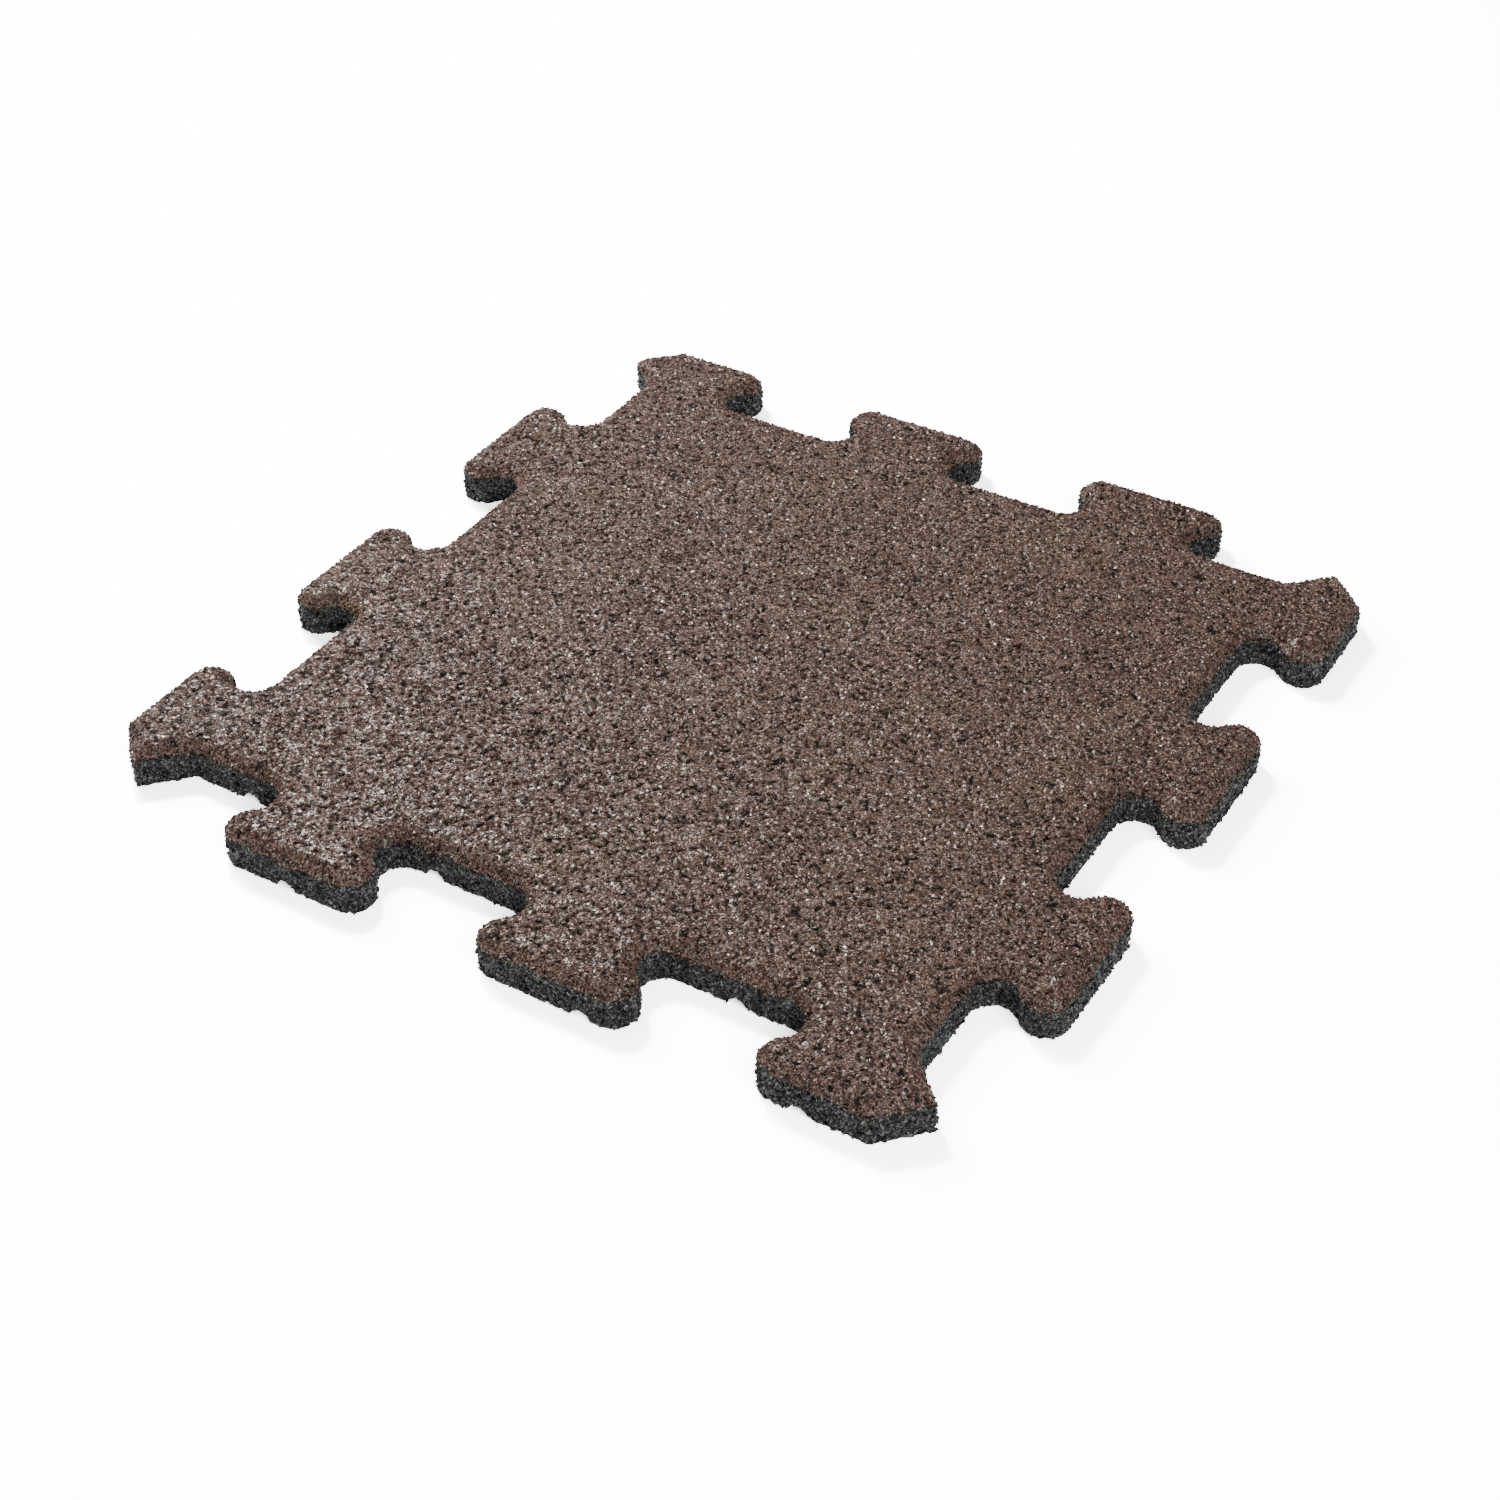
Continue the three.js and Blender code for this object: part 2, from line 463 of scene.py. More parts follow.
def crumb_finish():
    """The shared finish of pressed rubber crumbs: each crumb's own tone, painted shade in the crevices
    between them, on chips that stand for small pits and in the pits, painted glints on a few chips, mottling,
    a fine grain and a few glossy faces."""
    name = "Rubber crumb finish"
    if name in bpy.data.node_groups:
        return bpy.data.node_groups[name]
    tree, given, result = new_group(
        name,
        "ShaderNodeTree",
        [
            ("Coordinates", "NodeSocketVector", None),
            ("Tone", "NodeSocketFloat", 0.5),
            ("Pit", "NodeSocketFloat", 0.0),
            ("Gloss", "NodeSocketFloat", 0.0),
            ("Crumb Share", "NodeSocketFloat", 0.35),
            *((shade.capitalize(), "NodeSocketColor", None) for shade in SHADES),
            ("Grain Size", "NodeSocketFloat", 0.5 * MM),
            ("Chip Size", "NodeSocketFloat", 0.78 * MM),
            ("Mottle Size", "NodeSocketFloat", 60 * MM),
        ],
        [
            ("Colour", "NodeSocketColor"),
            ("Roughness", "NodeSocketFloat"),
            ("Glint", "NodeSocketFloat"),
            ("Height", "NodeSocketFloat"),
        ],
    )
    place = given["Coordinates"]
    sizes = ("Grain Size", "Chip Size", "Mottle Size")
    grain_scale, chip_scale, mottle_scale = (calculate(tree, "DIVIDE", 1.0, given[size]) for size in sizes)
    grain = noise(tree, place, grain_scale, 2.0).outputs["Fac"]
    mottle = noise(tree, place, mottle_scale, 3.0).outputs["Fac"]
    chip_place = {"Vector": place, "Scale": chip_scale}
    chips = add_node(tree, "ShaderNodeTexVoronoi", chip_place)
    chip = add_node(tree, "ShaderNodeSeparateColor", {"Color": chips.outputs["Color"]}).outputs
    crevices = add_node(tree, "ShaderNodeTexVoronoi", chip_place, feature="DISTANCE_TO_EDGE")
    to_crevice = crevices.outputs["Distance"]

    # The colour of a chip follows its own tone and its crumb's, from deep over body to pale
    crumb_tone = calculate(tree, "MULTIPLY", given["Tone"], given["Crumb Share"])
    chip_share = calculate(tree, "SUBTRACT", 1.0, given["Crumb Share"])
    tone = calculate(tree, "MULTIPLY_ADD", chip["Red"], chip_share, crumb_tone)
    colour = mix_colours(tree, remap(tree, tone, *BODY_TONES), given["Deep"], given["Body"])
    colour = mix_colours(tree, remap(tree, tone, *PALE_TONES), colour, given["Pale"])
    stray = remap(tree, chip["Green"], *STRAY_CHIPS)
    stray = calculate(tree, "ADD", stray, remap(tree, mottle, *STRAY_MOTTLE))
    colour = mix_colours(tree, stray, colour, given["Stray"])
    # Painted glints: the chips highest in blue turn to the bright speck colour, which stands for light
    # glancing off glossy faces
    colour = mix_colours(tree, remap(tree, chip["Blue"], *PAINTED_GLINT_CHIPS), colour, given["Speck"])

    # It varies with the mottling and the grain, and is darkest where shade is painted: on chips that stand
    # for small pits and cracks, in the crevices between chips and in the pits
    shade = remap(tree, mottle, *MOTTLE_SHADE)
    shade = calculate(tree, "MULTIPLY", shade, remap(tree, grain, *GRAIN_SHADE))
    # Painted shade of small pits and cracks, on the chips lowest in blue
    shade = calculate(tree, "MULTIPLY", shade, remap(tree, chip["Blue"], *PIT_SHADE_CHIPS))
    # Painted shade in the crevices between chips
    shade = calculate(tree, "MULTIPLY", shade, remap(tree, to_crevice, *CREVICE_SHADE))
    # Painted shade in the pits: the colour falls to PIT_SHADE of itself at a pit's point and fades out over
    # the facets round it
    pitted = remap(tree, given["Pit"], *PIT_RANGE)
    open_face = calculate(tree, "SUBTRACT", 1.0, pitted)
    pit_shade = calculate(tree, "MULTIPLY_ADD", open_face, 1 - PIT_SHADE, PIT_SHADE)
    shade = calculate(tree, "MULTIPLY", shade, pit_shade)
    colour = mix_colours(tree, 1.0, colour, shade, "MULTIPLY")

    # Some faces outside the pits are glossy, and smoother
    glint = calculate(tree, "MULTIPLY", remap(tree, given["Gloss"], *GLOSSY_FACES), open_face)
    glint = calculate(tree, "MULTIPLY", glint, remap(tree, chip["Green"], *GLOSSY_CHIPS))
    roughness = remap(tree, chip["Green"], *CHIP_ROUGHNESS)
    roughness = calculate(tree, "MULTIPLY_ADD", glint, GLINT_ROUGHNESS, roughness)
    roughness = calculate(tree, "MULTIPLY_ADD", pitted, PIT_ROUGHNESS, roughness)
    height = calculate(tree, "ADD", grain, remap(tree, to_crevice, *CREVICE_HEIGHT))

    for name, value in {"Colour": colour, "Roughness": roughness, "Glint": glint, "Height": height}.items():
        tree.links.new(value, result[name])
    return tree


def crumb_material(name, colours):
    """Pressed rubber crumbs in one layer's colours."""
    if name in bpy.data.materials:
        return bpy.data.materials[name]
    material = bpy.data.materials.new(name)
    material.use_nodes = True
    tree = material.node_tree
    shader = tree.nodes["Principled BSDF"]
    shader.inputs["Specular IOR Level"].default_value = colours.specular
    shader.inputs["Coat Roughness"].default_value = COAT_ROUGHNESS
    values = {"Coordinates": add_node(tree, "ShaderNodeTexCoord").outputs["Object"]}
    for source in ("tone", "pit", "gloss"):
        attribute = add_node(tree, "ShaderNodeAttribute", attribute_name=source)
        values[source.capitalize()] = attribute.outputs["Fac"]
    for shade in SHADES:
        values[shade.capitalize()] = (*getattr(colours, shade), 1)
    finish = add_node(tree, "ShaderNodeGroup", values, node_tree=crumb_finish())
    relief = {"Height": finish.outputs["Height"], "Distance": BUMP_DISTANCE, "Strength": BUMP_STRENGTH}
    bump = add_node(tree, "ShaderNodeBump", relief)
    for source, target in (("Colour", "Base Color"), ("Roughness", "Roughness"), ("Glint", "Coat Weight")):
        tree.links.new(finish.outputs[source], shader.inputs[target])
    tree.links.new(bump.outputs["Normal"], shader.inputs["Normal"])
    return material


def crumb_scatter():
    """The tree that scatters jagged crumbs over one zone of a layer, within a band of heights.
    The band's ends are ragged from crumb to crumb, and drift up and down along the layer."""
    name = "Scattered crumbs"
    if name in bpy.data.node_groups:
        return bpy.data.node_groups[name]
    tree, given, result = new_group(
        name,
        "GeometryNodeTree",
        [
            ("Layer", "NodeSocketGeometry", None),
            ("Zone", "NodeSocketInt", WALL_ZONE),
            ("Lowest", "NodeSocketFloat", 0.0),
            ("Highest", "NodeSocketFloat", TOP),
            ("Ragged", "NodeSocketFloat", 0.0),
            ("Drift", "NodeSocketFloat", 0.0),
            ("Drift Size", "NodeSocketFloat", 25 * MM),
            ("Spacing", "NodeSocketFloat", 2 * MM),
            ("Size", "NodeSocketFloat", 2 * MM),
            ("Flatness", "NodeSocketFloat", 0.6),
            ("Tilt", "NodeSocketFloat", 0.4),
            ("Jaggedness", "NodeSocketFloat", 0.27),
            ("Lift", "NodeSocketFloat", 0.0),
            ("Floor", "NodeSocketFloat", 0.0),
            ("Ceiling", "NodeSocketFloat", TOP),
            ("Seed", "NodeSocketInt", 1),
            ("Material", "NodeSocketMaterial", None),
        ],
        [("Crumbs", "NodeSocketGeometry")],
    )
    zone = add_node(tree, "GeometryNodeInputNamedAttribute", {"Name": "zone"}, data_type="INT")
    zones = {2: zone.outputs["Attribute"], 3: given["Zone"]}
    in_zone = add_node(tree, "FunctionNodeCompare", zones, data_type="INT", operation="EQUAL")
    density = calculate(tree, "DIVIDE", CRUMB_DENSITY, calculate(tree, "POWER", given["Spacing"], 2.0))
    points = add_node(
        tree,
        "GeometryNodeDistributePointsOnFaces",
        {
            "Mesh": given["Layer"],
            "Selection": in_zone.outputs["Result"],
            "Distance Min": given["Spacing"],
            "Density Max": density,
            "Seed": given["Seed"],
        },
        distribute_method="POISSON",
    )
    position = add_node(tree, "GeometryNodeInputPosition").outputs[0]
    height = add_node(tree, "ShaderNodeSeparateXYZ", {0: position}).outputs["Z"]
    either_way = {2: -1.0, 3: 1.0, "Seed": given["Seed"]}
    astray = add_node(tree, "FunctionNodeRandomValue", either_way, data_type="FLOAT").outputs[1]
    height = calculate(tree, "MULTIPLY_ADD", astray, given["Ragged"], height)
    drift_scale = calculate(tree, "DIVIDE", 1.0, given["Drift Size"])
    drift = remap(tree, noise(tree, position, drift_scale, 1.0).outputs["Fac"], *DRIFT_NOISE)
    height = calculate(tree, "MULTIPLY_ADD", drift, given["Drift"], height)
    below = calculate(tree, "LESS_THAN", height, given["Lowest"])
    above = calculate(tree, "GREATER_THAN", height, given["Highest"])
    outside = {"Geometry": points.outputs["Points"], "Selection": calculate(tree, "MAXIMUM", below, above)}
    kept = add_node(tree, "GeometryNodeDeleteGeometry", outside, domain="POINT")

    # Each crumb is a block of its own size, turned any way and tilted a little
    block = add_node(tree, "GeometryNodeMeshCube", {"Size": (1.0, 1.0, 1.0)})
    size_seed = calculate(tree, "ADD", given["Seed"], 1.0)
    shares = {0: SMALLEST_CRUMB, 1: LARGEST_CRUMB, "Seed": size_seed}
    size = add_node(tree, "FunctionNodeRandomValue", shares, data_type="FLOAT_VECTOR").outputs[0]
    full = combine(tree, given["Size"], given["Size"], given["Size"])
    flat = combine(tree, 1.0, 1.0, given["Flatness"])
    size = add_node(tree, "ShaderNodeVectorMath", {0: size, 1: full}, operation="MULTIPLY").outputs[0]
    size = add_node(tree, "ShaderNodeVectorMath", {0: size, 1: flat}, operation="MULTIPLY").outputs[0]
    least_turn = combine(tree, calculate(tree, "MULTIPLY", given["Tilt"], -1.0), 0.0, 0.0)
    most_turn = combine(tree, given["Tilt"], given["Tilt"], 2 * math.pi)
    turn_seed = calculate(tree, "ADD", given["Seed"], 2.0)
    turns = {0: least_turn, 1: most_turn, "Seed": turn_seed}
    turn = add_node(tree, "FunctionNodeRandomValue", turns, data_type="FLOAT_VECTOR").outputs[0]
    spin = add_node(tree, "FunctionNodeEulerToRotation", {0: turn}).outputs[0]
    facing = add_node(
        tree,
        "FunctionNodeRotateRotation",
        {"Rotation": points.outputs["Rotation"], "Rotate By": spin},
        rotation_space="LOCAL",
    ).outputs[0]
    placed = add_node(
        tree,
        "GeometryNodeInstanceOnPoints",
        {"Points": kept.outputs[0], "Instance": block.outputs["Mesh"], "Rotation": facing, "Scale": size},
    )
    tone = add_node(tree, "FunctionNodeRandomValue", {"Seed": TONE_SEED}, data_type="FLOAT").outputs[1]
    # Painted light: the lift makes a piece's crumbs lighter, as if more light fell on them
    tone = calculate(tree, "ADD", tone, given["Lift"])
    toned = add_node(
        tree,
        "GeometryNodeStoreNamedAttribute",
        {"Geometry": placed.outputs[0], "Name": "tone", "Value": tone},
        data_type="FLOAT",
        domain="INSTANCE",
    )
    real = add_node(tree, "GeometryNodeRealizeInstances", {0: toned.outputs[0]}).outputs[0]

    # Noise makes the blocks jagged, and they are pressed flat at the floor and at the ceiling
    jag = noise(tree, position, calculate(tree, "DIVIDE", JAG_WAVES, given["Size"]), 0.0).outputs["Color"]
    middle = {0: jag, 1: (0.5, 0.5, 0.5)}
    jag = add_node(tree, "ShaderNodeVectorMath", middle, operation="SUBTRACT").outputs[0]
    jaggedness = calculate(tree, "MULTIPLY", given["Jaggedness"], JAG_REACH)
    reach = calculate(tree, "MULTIPLY", given["Size"], jaggedness)
    jag = add_node(tree, "ShaderNodeVectorMath", {0: jag, "Scale": reach}, operation="SCALE").outputs[0]
    jagged = add_node(tree, "GeometryNodeSetPosition", {"Geometry": real, "Offset": jag}).outputs[0]
    parts = add_node(tree, "ShaderNodeSeparateXYZ", {0: position}).outputs
    height = calculate(tree, "MINIMUM", parts["Z"], given["Ceiling"])
    height = calculate(tree, "MAXIMUM", height, given["Floor"])
    pressed = combine(tree, parts["X"], parts["Y"], height)
    jagged = add_node(tree, "GeometryNodeSetPosition", {"Geometry": jagged, "Position": pressed}).outputs[0]
    gloss = add_node(tree, "FunctionNodeRandomValue", {"Seed": GLOSS_SEED}, data_type="FLOAT").outputs[1]
    glossy = add_node(
        tree,
        "GeometryNodeStoreNamedAttribute",
        {"Geometry": jagged, "Name": "gloss", "Value": gloss},
        data_type="FLOAT",
        domain="FACE",
    ).outputs[0]
    shading = {"Geometry": glossy, "Shade Smooth": False}
    flat_shaded = add_node(tree, "GeometryNodeSetShadeSmooth", shading).outputs[0]
    painting = {"Geometry": flat_shaded, "Material": given["Material"]}
    painted = add_node(tree, "GeometryNodeSetMaterial", painting).outputs[0]
    tree.links.new(painted, result["Crumbs"])
    return tree


def scatter_crumbs(name, layer, zone, material, nth):
    """A piece of loose crumbs over a zone of a layer: the tree's result as a plain mesh, riding on the tile.
    Its settings are those of the same name, and nth gives it a seed of its own."""
    settings = bpy.context.scene.rubber_tile
    sizes = getattr(settings, name)
    values = {
        "Zone": zone,
        "Ceiling": TOP + sizes.stand,
        "Seed": settings.surface.seed + nth,
        "Material": material,
    }
    for key in ("spacing", "size", "flatness", "tilt", "lowest", "highest", "ragged", "drift", "lift"):
        values[key.capitalize()] = getattr(sizes, key)
    scattered = bpy.data.objects.new(name + "_scattered", bpy.data.objects[layer].data.copy())
    bpy.context.scene.collection.objects.link(scattered)
    tree = crumb_scatter()
    modifier = scattered.modifiers.new("Crumbs", "NODES")
    modifier.node_group = tree
    identifiers = {item.name: item.identifier for item in tree.interface.items_tree if item.in_out == "INPUT"}
    for key, value in values.items():
        modifier[identifiers[key]] = value
    bpy.context.view_layer.update()
    depsgraph = bpy.context.evaluated_depsgraph_get()
    evaluated = scattered.evaluated_get(depsgraph)
    mesh = bpy.data.meshes.new_from_object(evaluated, preserve_all_data_layers=True, depsgraph=depsgraph)
    mesh.name = name
    bpy.data.objects.remove(scattered)
    crumbs = bpy.data.objects.new(name, mesh)
    bpy.context.scene.collection.objects.link(crumbs)
    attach(crumbs, "root")


def number(name, description, default):
    """A plain number's property."""
    return FloatProperty(name=name, description=description, default=default)


def metres(name, description, default):
    """A length's property."""
    return FloatProperty(name=name, description=description, default=default, unit="LENGTH")


def fraction(name, description, default):
    """A share's property, from 0 to 1."""
    return FloatProperty(name=name, description=description, default=default, subtype="FACTOR")


def degrees(name, description, default):
    """An angle's property, which Blender keeps in radians."""
    return FloatProperty(name=name, description=description, default=math.radians(default), subtype="ANGLE")


def tint(name, description, default):
    """A colour's property, in linear light."""
    return FloatVectorProperty(name=name, description=description, default=default, subtype="COLOR")


class TileSurface(bpy.types.PropertyGroup):
    """Sizes of the layers' rough surfaces and of the channels in the underside."""

    top_spacing: metres("Top Facets", "Distance between the points of the top", 1.78 * MM)
    chamfer_spacing: metres("Chamfer Facets", "Distance between the points of the chamfer", 1.5 * MM)
    wall_spacing: metres("Side Facets", "Distance between the points of the side faces", 1.6 * MM)
    underside_spacing: metres("Underside Facets", "Distance between the points of the underside", 2.2 * MM)
    looseness: number("Looseness", "How far a point strays from its grid, as a share of the spacing", 0.36)
    pit_share: fraction("Pits", "Share of the points that are pits", 0.26)
    pit_depth: metres("Pit Depth", "Of the deepest pits", 1.3 * MM)
    # Painted shade in the gaps between the side faces' crumbs, as a share of the tone
    painted_gap_shade: fraction("Gap Tone", "Tone of the gaps between the side faces' crumbs", 0.35)
    unevenness: metres("Unevenness", "Of the crumbs' own faces", 0.2 * MM)
    chamfer_relief: number("Chamfer Relief", "Relief on the chamfer, as a share of that on the top", 0.9)
    crease_radius: metres("Crease Radius", "Rounding of the bend between the top and the chamfer", 1.2 * MM)
    proud: metres("Proud", "How far the side faces' crumbs stand out of the outline", 0.3 * MM)
    channel_spacing: metres("Channel Spacing", "Between the channels' middles", 62.5 * MM)
    channels_each_side: IntProperty(
        name="Channels Each Side", description="Left and right of the middle", default=3
    )
    channel_width: metres("Channel Width", "At the floor", 12 * MM)
    channel_depth: metres("Channel Depth", "In the middle", 4.5 * MM)
    seed: IntProperty(name="Seed", description="For everything random", default=7)


class LooseCrumbs(bpy.types.PropertyGroup):
    """Sizes of one piece's loose crumbs, and the band of heights that they lie in."""

    spacing: metres("Spacing", "Between the crumbs", 1.9 * MM)
    size: metres("Size", "Of the crumbs", 2.2 * MM)
    flatness: number("Flatness", "Height of a crumb, as a share", 0.8)
    tilt: FloatProperty(name="Tilt", description="The most that a crumb leans", default=0.7, subtype="ANGLE")
    lowest: metres("Lowest", "Foot of the band", 0.0)
    highest: metres("Highest", "Head of the band", TOP)
    ragged: metres("Ragged", "How far single crumbs stray from the band", 0.0)
    drift: metres("Drift", "How far the band rises and falls along the side", 0.0)
    # Painted light: a lighter tone, as if more light fell on the crumbs
    lift: number("Lift", "How much lighter the crumbs are, of their range of tones", 0.0)
    stand: metres("Stand", "How far the crumbs may stand out of the top", 0.0)


class LayerColours(bpy.types.PropertyGroup):
    """Colours of one layer's crumbs. The defaults are the wear layer's."""

    deep: tint("Deep", "The darkest crumbs", (0.012, 0.006, 0.004))
    body: tint("Body", "Most crumbs", (0.069, 0.0355, 0.024))
    pale: tint("Pale", "The lightest crumbs", (0.168, 0.11, 0.089))
    stray: tint("Stray", "Crumbs of another shade among them", (0.073, 0.05, 0.028))
    # A bright colour painted on a few chips as glints
    speck: tint("Speck", "A few bright crumbs", (0.3, 0.22, 0.19))
    specular: fraction("Specular", "Strength of the reflections", 0.14)


class StageSettings(bpy.types.PropertyGroup):
    """The floor, the lights and the camera."""

    azimuth: degrees("Azimuth", "Of the camera, round the tile", 32.139)
    elevation: degrees("Elevation", "Of the camera, over the floor", 38.592)
    roll: degrees("Roll", "Of the camera", -0.861)
    distance: metres("Distance", "From the camera to its target", 1.43465)
    target: FloatVectorProperty(
        name="Target",
        description="The point on the floor in the picture's middle",
        default=(0.0234, -0.04905, 0),
        unit="LENGTH",
    )
    lens: number("Lens", "Focal length in millimetres", 61.58)
    floor_colour: tint("Floor", "Colour of the floor", (0.9, 0.9, 0.9))
    floor_brightness: number(
        "Floor Brightness", "Of the floor as the camera sees it, which lifts it to white", 6.2
    )
    sky: number("Sky", "Strength of the light from all round", 0.3)
    key_azimuth: degrees("Key Azimuth", "Of the key light, round the tile", -125)
    key_elevation: degrees("Key Elevation", "Of the key light, over the floor", 51)
    key_power: number("Key Power", "Of the key light, in watts", 84)
    key_size: metres("Key Size", "Of the key light", 0.35)
    key_colour: tint("Key Colour", "Of the key light", (1.0, 0.92, 0.87))
    window_azimuth: degrees("Window Azimuth", "Of the window light, round the tile", -110)
    window_elevation: degrees("Window Elevation", "Of the window light, over the floor", 38)
    window_power: number("Window Power", "Of the window light, in watts", 62)
    window_size: metres("Window Size", "Of the window light", 1.0)
    window_colour: tint("Window Colour", "Of the window light", (1.0, 0.97, 0.98))
    fill_azimuth: degrees("Fill Azimuth", "Of the fill light, round the tile", 54)
    fill_elevation: degrees("Fill Elevation", "Of the fill light, over the floor", 38)
    fill_power: number("Fill Power", "Of the fill light, in watts", 66)
    fill_size: metres("Fill Size", "Of the fill light", 1.8)
    fill_colour: tint("Fill Colour", "Of the fill light", (1.0, 1.0, 1.0))
    light_distance: metres("Light Distance", "From the lights to the tile's middle", 2.4)


class TileSettings(bpy.types.PropertyGroup):
    """All the settings of the tile and its stage."""

    surface: PointerProperty(type=TileSurface)
    brown_top_crumbs: PointerProperty(type=LooseCrumbs)
    brown_chamfer_crumbs: PointerProperty(type=LooseCrumbs)
    brown_edge_crumbs: PointerProperty(type=LooseCrumbs)
    brown_stray_crumbs: PointerProperty(type=LooseCrumbs)
    dark_side_crumbs: PointerProperty(type=LooseCrumbs)
    dark_edge_crumbs: PointerProperty(type=LooseCrumbs)
    dark_chamfer_crumbs: PointerProperty(type=LooseCrumbs)
    wear: PointerProperty(type=LayerColours)
    base: PointerProperty(type=LayerColours)
    stage: PointerProperty(type=StageSettings)


class RUBBER_TILE_OT_wear_layer(bpy.types.Operator):
    """Build the brown wear layer: its top, chamfer and the upper strip of its side faces"""

    bl_idname = "rubber_tile.wear_layer"
    bl_label = "Wear Layer"

    def execute(self, context):
        settings = context.scene.rubber_tile
        sizes = settings.surface
        rng = np.random.default_rng(sizes.seed)
        outline = outline_of("base_layer", INTERFACE)
        ring = ring_round(outline, sizes.wall_spacing, channel_lines(sizes))
        length = len(ring)
        rows = max(1, round((CHAMFER_FOOT - INTERFACE) / sizes.wall_spacing))
        relief = wall_relief(rows, length, BROWN_PITS * sizes.pit_depth, sizes, rng)
        wall = wall_of(ring, INTERFACE, CHAMFER_FOOT, relief, BROWN_PROUD * sizes.proud, rng)

        level, level_distance = scattered_points(outline, sizes.top_spacing, sizes.looseness, rng)
        fine, fine_distance = scattered_points(outline, sizes.chamfer_spacing, sizes.looseness, rng)
        level_kept = level_distance > CHAMFER + LEVEL_MARGIN * sizes.top_spacing
        fine_kept = fine_distance <= CHAMFER + CREASE_OVERLAP * sizes.chamfer_spacing
        inner = np.concatenate([level[level_kept], fine[fine_kept]])
        distance = np.concatenate([level_distance[level_kept], fine_distance[fine_kept]])
        depth, strength = crumb_relief(len(inner), sizes.pit_share, sizes.pit_depth, sizes.unevenness, rng)
        depth[distance <= CHAMFER] *= sizes.chamfer_relief
        height = CHAMFER_FOOT + rounded_least(distance, CHAMFER, sizes.crease_radius) - depth

        points = np.concatenate([wall.reshape(-1, 3), np.column_stack([inner, height])])
        top_points = points[rows * length :]
        top = triangles_inside(top_points[:, :2], length) + rows * length
        bottom = triangles_inside(wall[0, :, :2], length)[:, ::-1]
        side = wall_triangles(rows, length, rng)
        from_edge = np.concatenate([np.zeros(wall.shape[0] * length), distance])
        on_chamfer = from_edge[top].mean(axis=1) < CHAMFER - MERGE_DISTANCE
        top_zones = np.where(on_chamfer, CHAMFER_ZONE, LEVEL_ZONE)
        faces_by_zone = [(top, top_zones), (side, WALL_ZONE), (bottom, HIDDEN_ZONE)]
        relief.append((depth, strength))
        layer = finish_layer("brown_wear_layer", points, faces_by_zone, relief, sizes, rng)
        layer.data.materials.append(crumb_material("Brown rubber crumb", settings.wear))
        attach(layer, "root")
        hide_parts("wear_layer")
        return {"FINISHED"}


class RUBBER_TILE_OT_base_layer(bpy.types.Operator):
    """Build the dark base layer: its rough side faces and its underside with the channels"""

    bl_idname = "rubber_tile.base_layer"
    bl_label = "Base Layer"

    def execute(self, context):
        settings = context.scene.rubber_tile
        sizes = settings.surface
        rng = np.random.default_rng(sizes.seed + 1)
        lines = channel_lines(sizes)
        outline = outline_of("base_layer", INTERFACE)
        ring = ring_round(outline, sizes.wall_spacing, lines)
        length = len(ring)
        rows = round(INTERFACE / sizes.wall_spacing)
        foot = channel_height(sizes, ring[:, 0]) + rng.uniform(0, RAISED_FOOT, length) * sizes.pit_depth
        relief = wall_relief(rows, length, sizes.pit_depth, sizes, rng)
        wall = wall_of(ring, foot, INTERFACE, relief, sizes.proud, rng)

        inner, _ = scattered_points(outline, sizes.underside_spacing, sizes.looseness, rng)
        to_line = np.abs(inner[:, :1] - lines[None, :])
        in_channel = channel_height(sizes, inner[:, 0]) > 0
        beside = to_line.min(axis=1) < LINE_MARGIN * sizes.underside_spacing
        inner = inner[~in_channel & ~beside]
        reach = np.arange(outline[:, 1].min(), outline[:, 1].max(), sizes.underside_spacing)
        rails = np.stack(np.meshgrid(lines, reach), axis=-1).reshape(-1, 2)
        rails[:, 1] += rng.uniform(-POINT_SLIDE, POINT_SLIDE, len(rails)) * sizes.underside_spacing
        rails = rails[is_inside(outline, rails)]
        rails = rails[distance_to(outline, rails) > OUTLINE_MARGIN * sizes.underside_spacing]
        inner = np.concatenate([inner, rails])
        depth, strength = crumb_relief(len(inner), sizes.pit_share, sizes.pit_depth, sizes.unevenness, rng)
        height = channel_height(sizes, inner[:, 0]) + depth

        points = np.concatenate([wall.reshape(-1, 3), np.column_stack([inner, height])])
        ring_and_inner = np.concatenate([points[:length], points[(rows + 1) * length :]])
        under = triangles_inside(ring_and_inner[:, :2], length)[:, ::-1]
        under = np.where(under < length, under, under + rows * length)
        side = wall_triangles(rows, length, rng)
        lid = triangles_inside(wall[rows, :, :2], length) + rows * length
        faces_by_zone = [(under, LEVEL_ZONE), (side, WALL_ZONE), (lid, HIDDEN_ZONE)]
        relief.append((depth, strength))
        layer = finish_layer("dark_base_layer", points, faces_by_zone, relief, sizes, rng)
        layer.data.materials.append(crumb_material("Dark rubber crumb", settings.base))
        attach(layer, "root")
        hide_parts("base_layer")
        return {"FINISHED"}


class RUBBER_TILE_OT_brown_crumbs(bpy.types.Operator):
    """Scatter single brown crumbs over the top, the chamfer and the upper side faces"""

    bl_idname = "rubber_tile.brown_crumbs"
    bl_label = "Brown Crumbs"

    def execute(self, context):
        material = crumb_material("Brown rubber crumb", context.scene.rubber_tile.wear)
        scatter_crumbs("brown_top_crumbs", "brown_wear_layer", LEVEL_ZONE, material, 0)
        scatter_crumbs("brown_chamfer_crumbs", "brown_wear_layer", CHAMFER_ZONE, material, 1)
        scatter_crumbs("brown_edge_crumbs", "brown_wear_layer", WALL_ZONE, material, 2)
        scatter_crumbs("brown_stray_crumbs", "dark_base_layer", WALL_ZONE, material, 3)
        return {"FINISHED"}


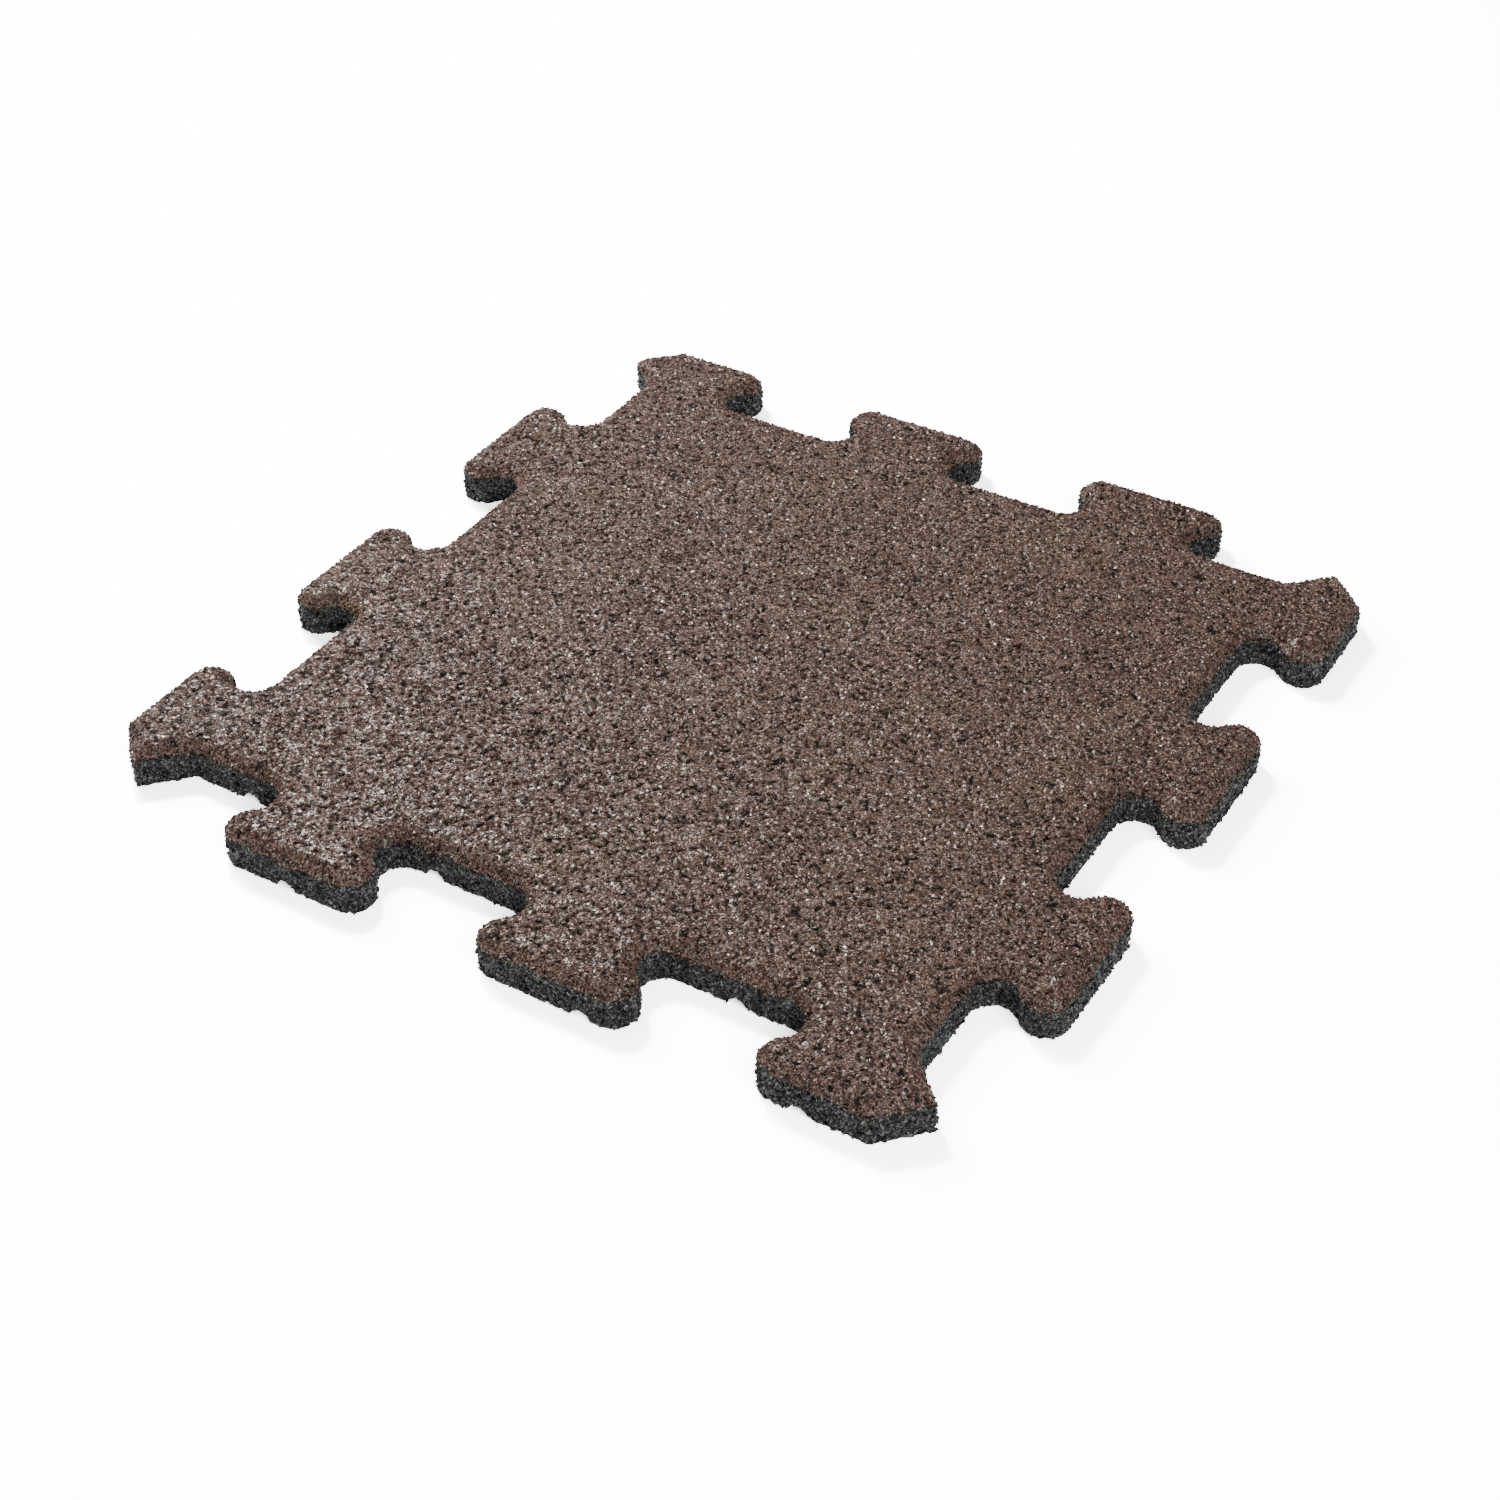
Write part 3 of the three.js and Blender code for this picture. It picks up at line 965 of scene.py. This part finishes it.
class RUBBER_TILE_OT_dark_crumbs(bpy.types.Operator):
    """Scatter single dark crumbs over the side faces"""

    bl_idname = "rubber_tile.dark_crumbs"
    bl_label = "Dark Crumbs"

    def execute(self, context):
        material = crumb_material("Dark rubber crumb", context.scene.rubber_tile.base)
        scatter_crumbs("dark_side_crumbs", "dark_base_layer", WALL_ZONE, material, 4)
        scatter_crumbs("dark_edge_crumbs", "brown_wear_layer", WALL_ZONE, material, 5)
        scatter_crumbs("dark_chamfer_crumbs", "brown_wear_layer", CHAMFER_ZONE, material, 6)
        return {"FINISHED"}


def direction(azimuth, elevation):
    """The way to a place from the tile's middle. Azimuth runs from the front side round to the right."""
    level = math.cos(elevation)
    return Vector((math.sin(azimuth) * level, -math.cos(azimuth) * level, math.sin(elevation)))


def area_light(stage, name):
    """The stage's round lamp of this name, aimed at the tile's middle."""
    lamp = bpy.data.lights.new(name.capitalize() + " light", "AREA")
    lamp.shape = "DISK"
    lamp.size = getattr(stage, name + "_size")
    lamp.energy = getattr(stage, name + "_power")
    lamp.color = getattr(stage, name + "_colour")
    light = bpy.data.objects.new(lamp.name, lamp)
    way = direction(getattr(stage, name + "_azimuth"), getattr(stage, name + "_elevation"))
    light.location = way * stage.light_distance
    light.rotation_euler = way.to_track_quat("Z", "Y").to_euler()
    bpy.context.scene.collection.objects.link(light)


def floor_paint(stage):
    """The floor's white paint. The camera sees it brighter than the light that it gives back to the tile."""
    paint = bpy.data.materials.new("Pale floor")
    paint.use_nodes = True
    tree = paint.node_tree
    tree.nodes.clear()
    bright = (stage.floor_brightness, stage.floor_brightness, stage.floor_brightness, 1)
    lighting = add_node(tree, "ShaderNodeBsdfDiffuse", {"Color": (*stage.floor_colour, 1)})
    seen = add_node(tree, "ShaderNodeBsdfDiffuse", {"Color": bright})
    path = add_node(tree, "ShaderNodeLightPath")
    shaders = {0: path.outputs["Is Camera Ray"], 1: lighting.outputs[0], 2: seen.outputs[0]}
    mixed = add_node(tree, "ShaderNodeMixShader", shaders)
    add_node(tree, "ShaderNodeOutputMaterial", {"Surface": mixed.outputs[0]})
    return paint


class RUBBER_TILE_OT_stage(bpy.types.Operator):
    """Set up the pale floor, the soft light and the camera"""

    bl_idname = "rubber_tile.stage"
    bl_label = "Stage"

    def execute(self, context):
        scene = context.scene
        stage = scene.rubber_tile.stage
        floor_mesh = bpy.data.meshes.new("floor")
        corners = [(x * FLOOR_REACH, y * FLOOR_REACH, 0) for x, y in ((-1, -1), (1, -1), (1, 1), (-1, 1))]
        floor_mesh.from_pydata(corners, [], [(0, 1, 2, 3)])
        floor = bpy.data.objects.new("floor", floor_mesh)
        scene.collection.objects.link(floor)
        floor_mesh.materials.append(floor_paint(stage))

        world = bpy.data.worlds.new("Studio")
        world.use_nodes = True
        background = world.node_tree.nodes["Background"]
        background.inputs["Color"].default_value = (1, 1, 1, 1)
        background.inputs["Strength"].default_value = stage.sky
        scene.world = world
        for lamp in ("key", "window", "fill"):
            area_light(stage, lamp)

        back = direction(stage.azimuth, stage.elevation)
        place = Vector(stage.target) + back * stage.distance
        facing = back.to_track_quat("Z", "Y").to_matrix().to_4x4()
        camera = bpy.data.objects.new("Camera", bpy.data.cameras.new("Camera"))
        camera.data.lens = stage.lens
        camera.matrix_world = Matrix.Translation(place) @ facing @ Matrix.Rotation(stage.roll, 4, "Z")
        scene.collection.objects.link(camera)
        scene.camera = camera
        return {"FINISHED"}


class RUBBER_TILE_PT_panel(bpy.types.Panel):
    """Lists the tile's pieces and settings"""

    bl_idname = "RUBBER_TILE_PT_panel"
    bl_label = "Rubber Tile"
    bl_space_type = "VIEW_3D"
    bl_region_type = "UI"
    bl_category = "Rubber Tile"

    def draw(self, context):
        settings = context.scene.rubber_tile
        for operator in OPERATORS:
            self.layout.operator(operator.bl_idname)
        for heading in TileSettings.__annotations__:
            box = self.layout.box()
            box.label(text=heading.replace("_", " ").capitalize())
            group = getattr(settings, heading)
            for name in type(group).__annotations__:
                box.prop(group, name)


OPERATORS = (
    RUBBER_TILE_OT_stage,
    RUBBER_TILE_OT_wear_layer,
    RUBBER_TILE_OT_base_layer,
    RUBBER_TILE_OT_brown_crumbs,
    RUBBER_TILE_OT_dark_crumbs,
)
GROUPS = (TileSurface, LooseCrumbs, LayerColours, StageSettings, TileSettings)
CLASSES = (*GROUPS, *OPERATORS, RUBBER_TILE_PT_panel)


def register():
    for cls in CLASSES:
        bpy.utils.register_class(cls)
    bpy.types.Scene.rubber_tile = PointerProperty(type=TileSettings)


def unregister():
    del bpy.types.Scene.rubber_tile
    for cls in reversed(CLASSES):
        bpy.utils.unregister_class(cls)


def main():
    register()
    for heading, values in OWN_VALUES.items():
        for name, value in values.items():
            setattr(getattr(bpy.context.scene.rubber_tile, heading), name, value)
    bpy.ops.rubber_tile.stage()
    bpy.ops.rubber_tile.wear_layer()
    bpy.ops.rubber_tile.base_layer()
    bpy.ops.rubber_tile.brown_crumbs()
    bpy.ops.rubber_tile.dark_crumbs()


if __name__ == "__main__":
    main()
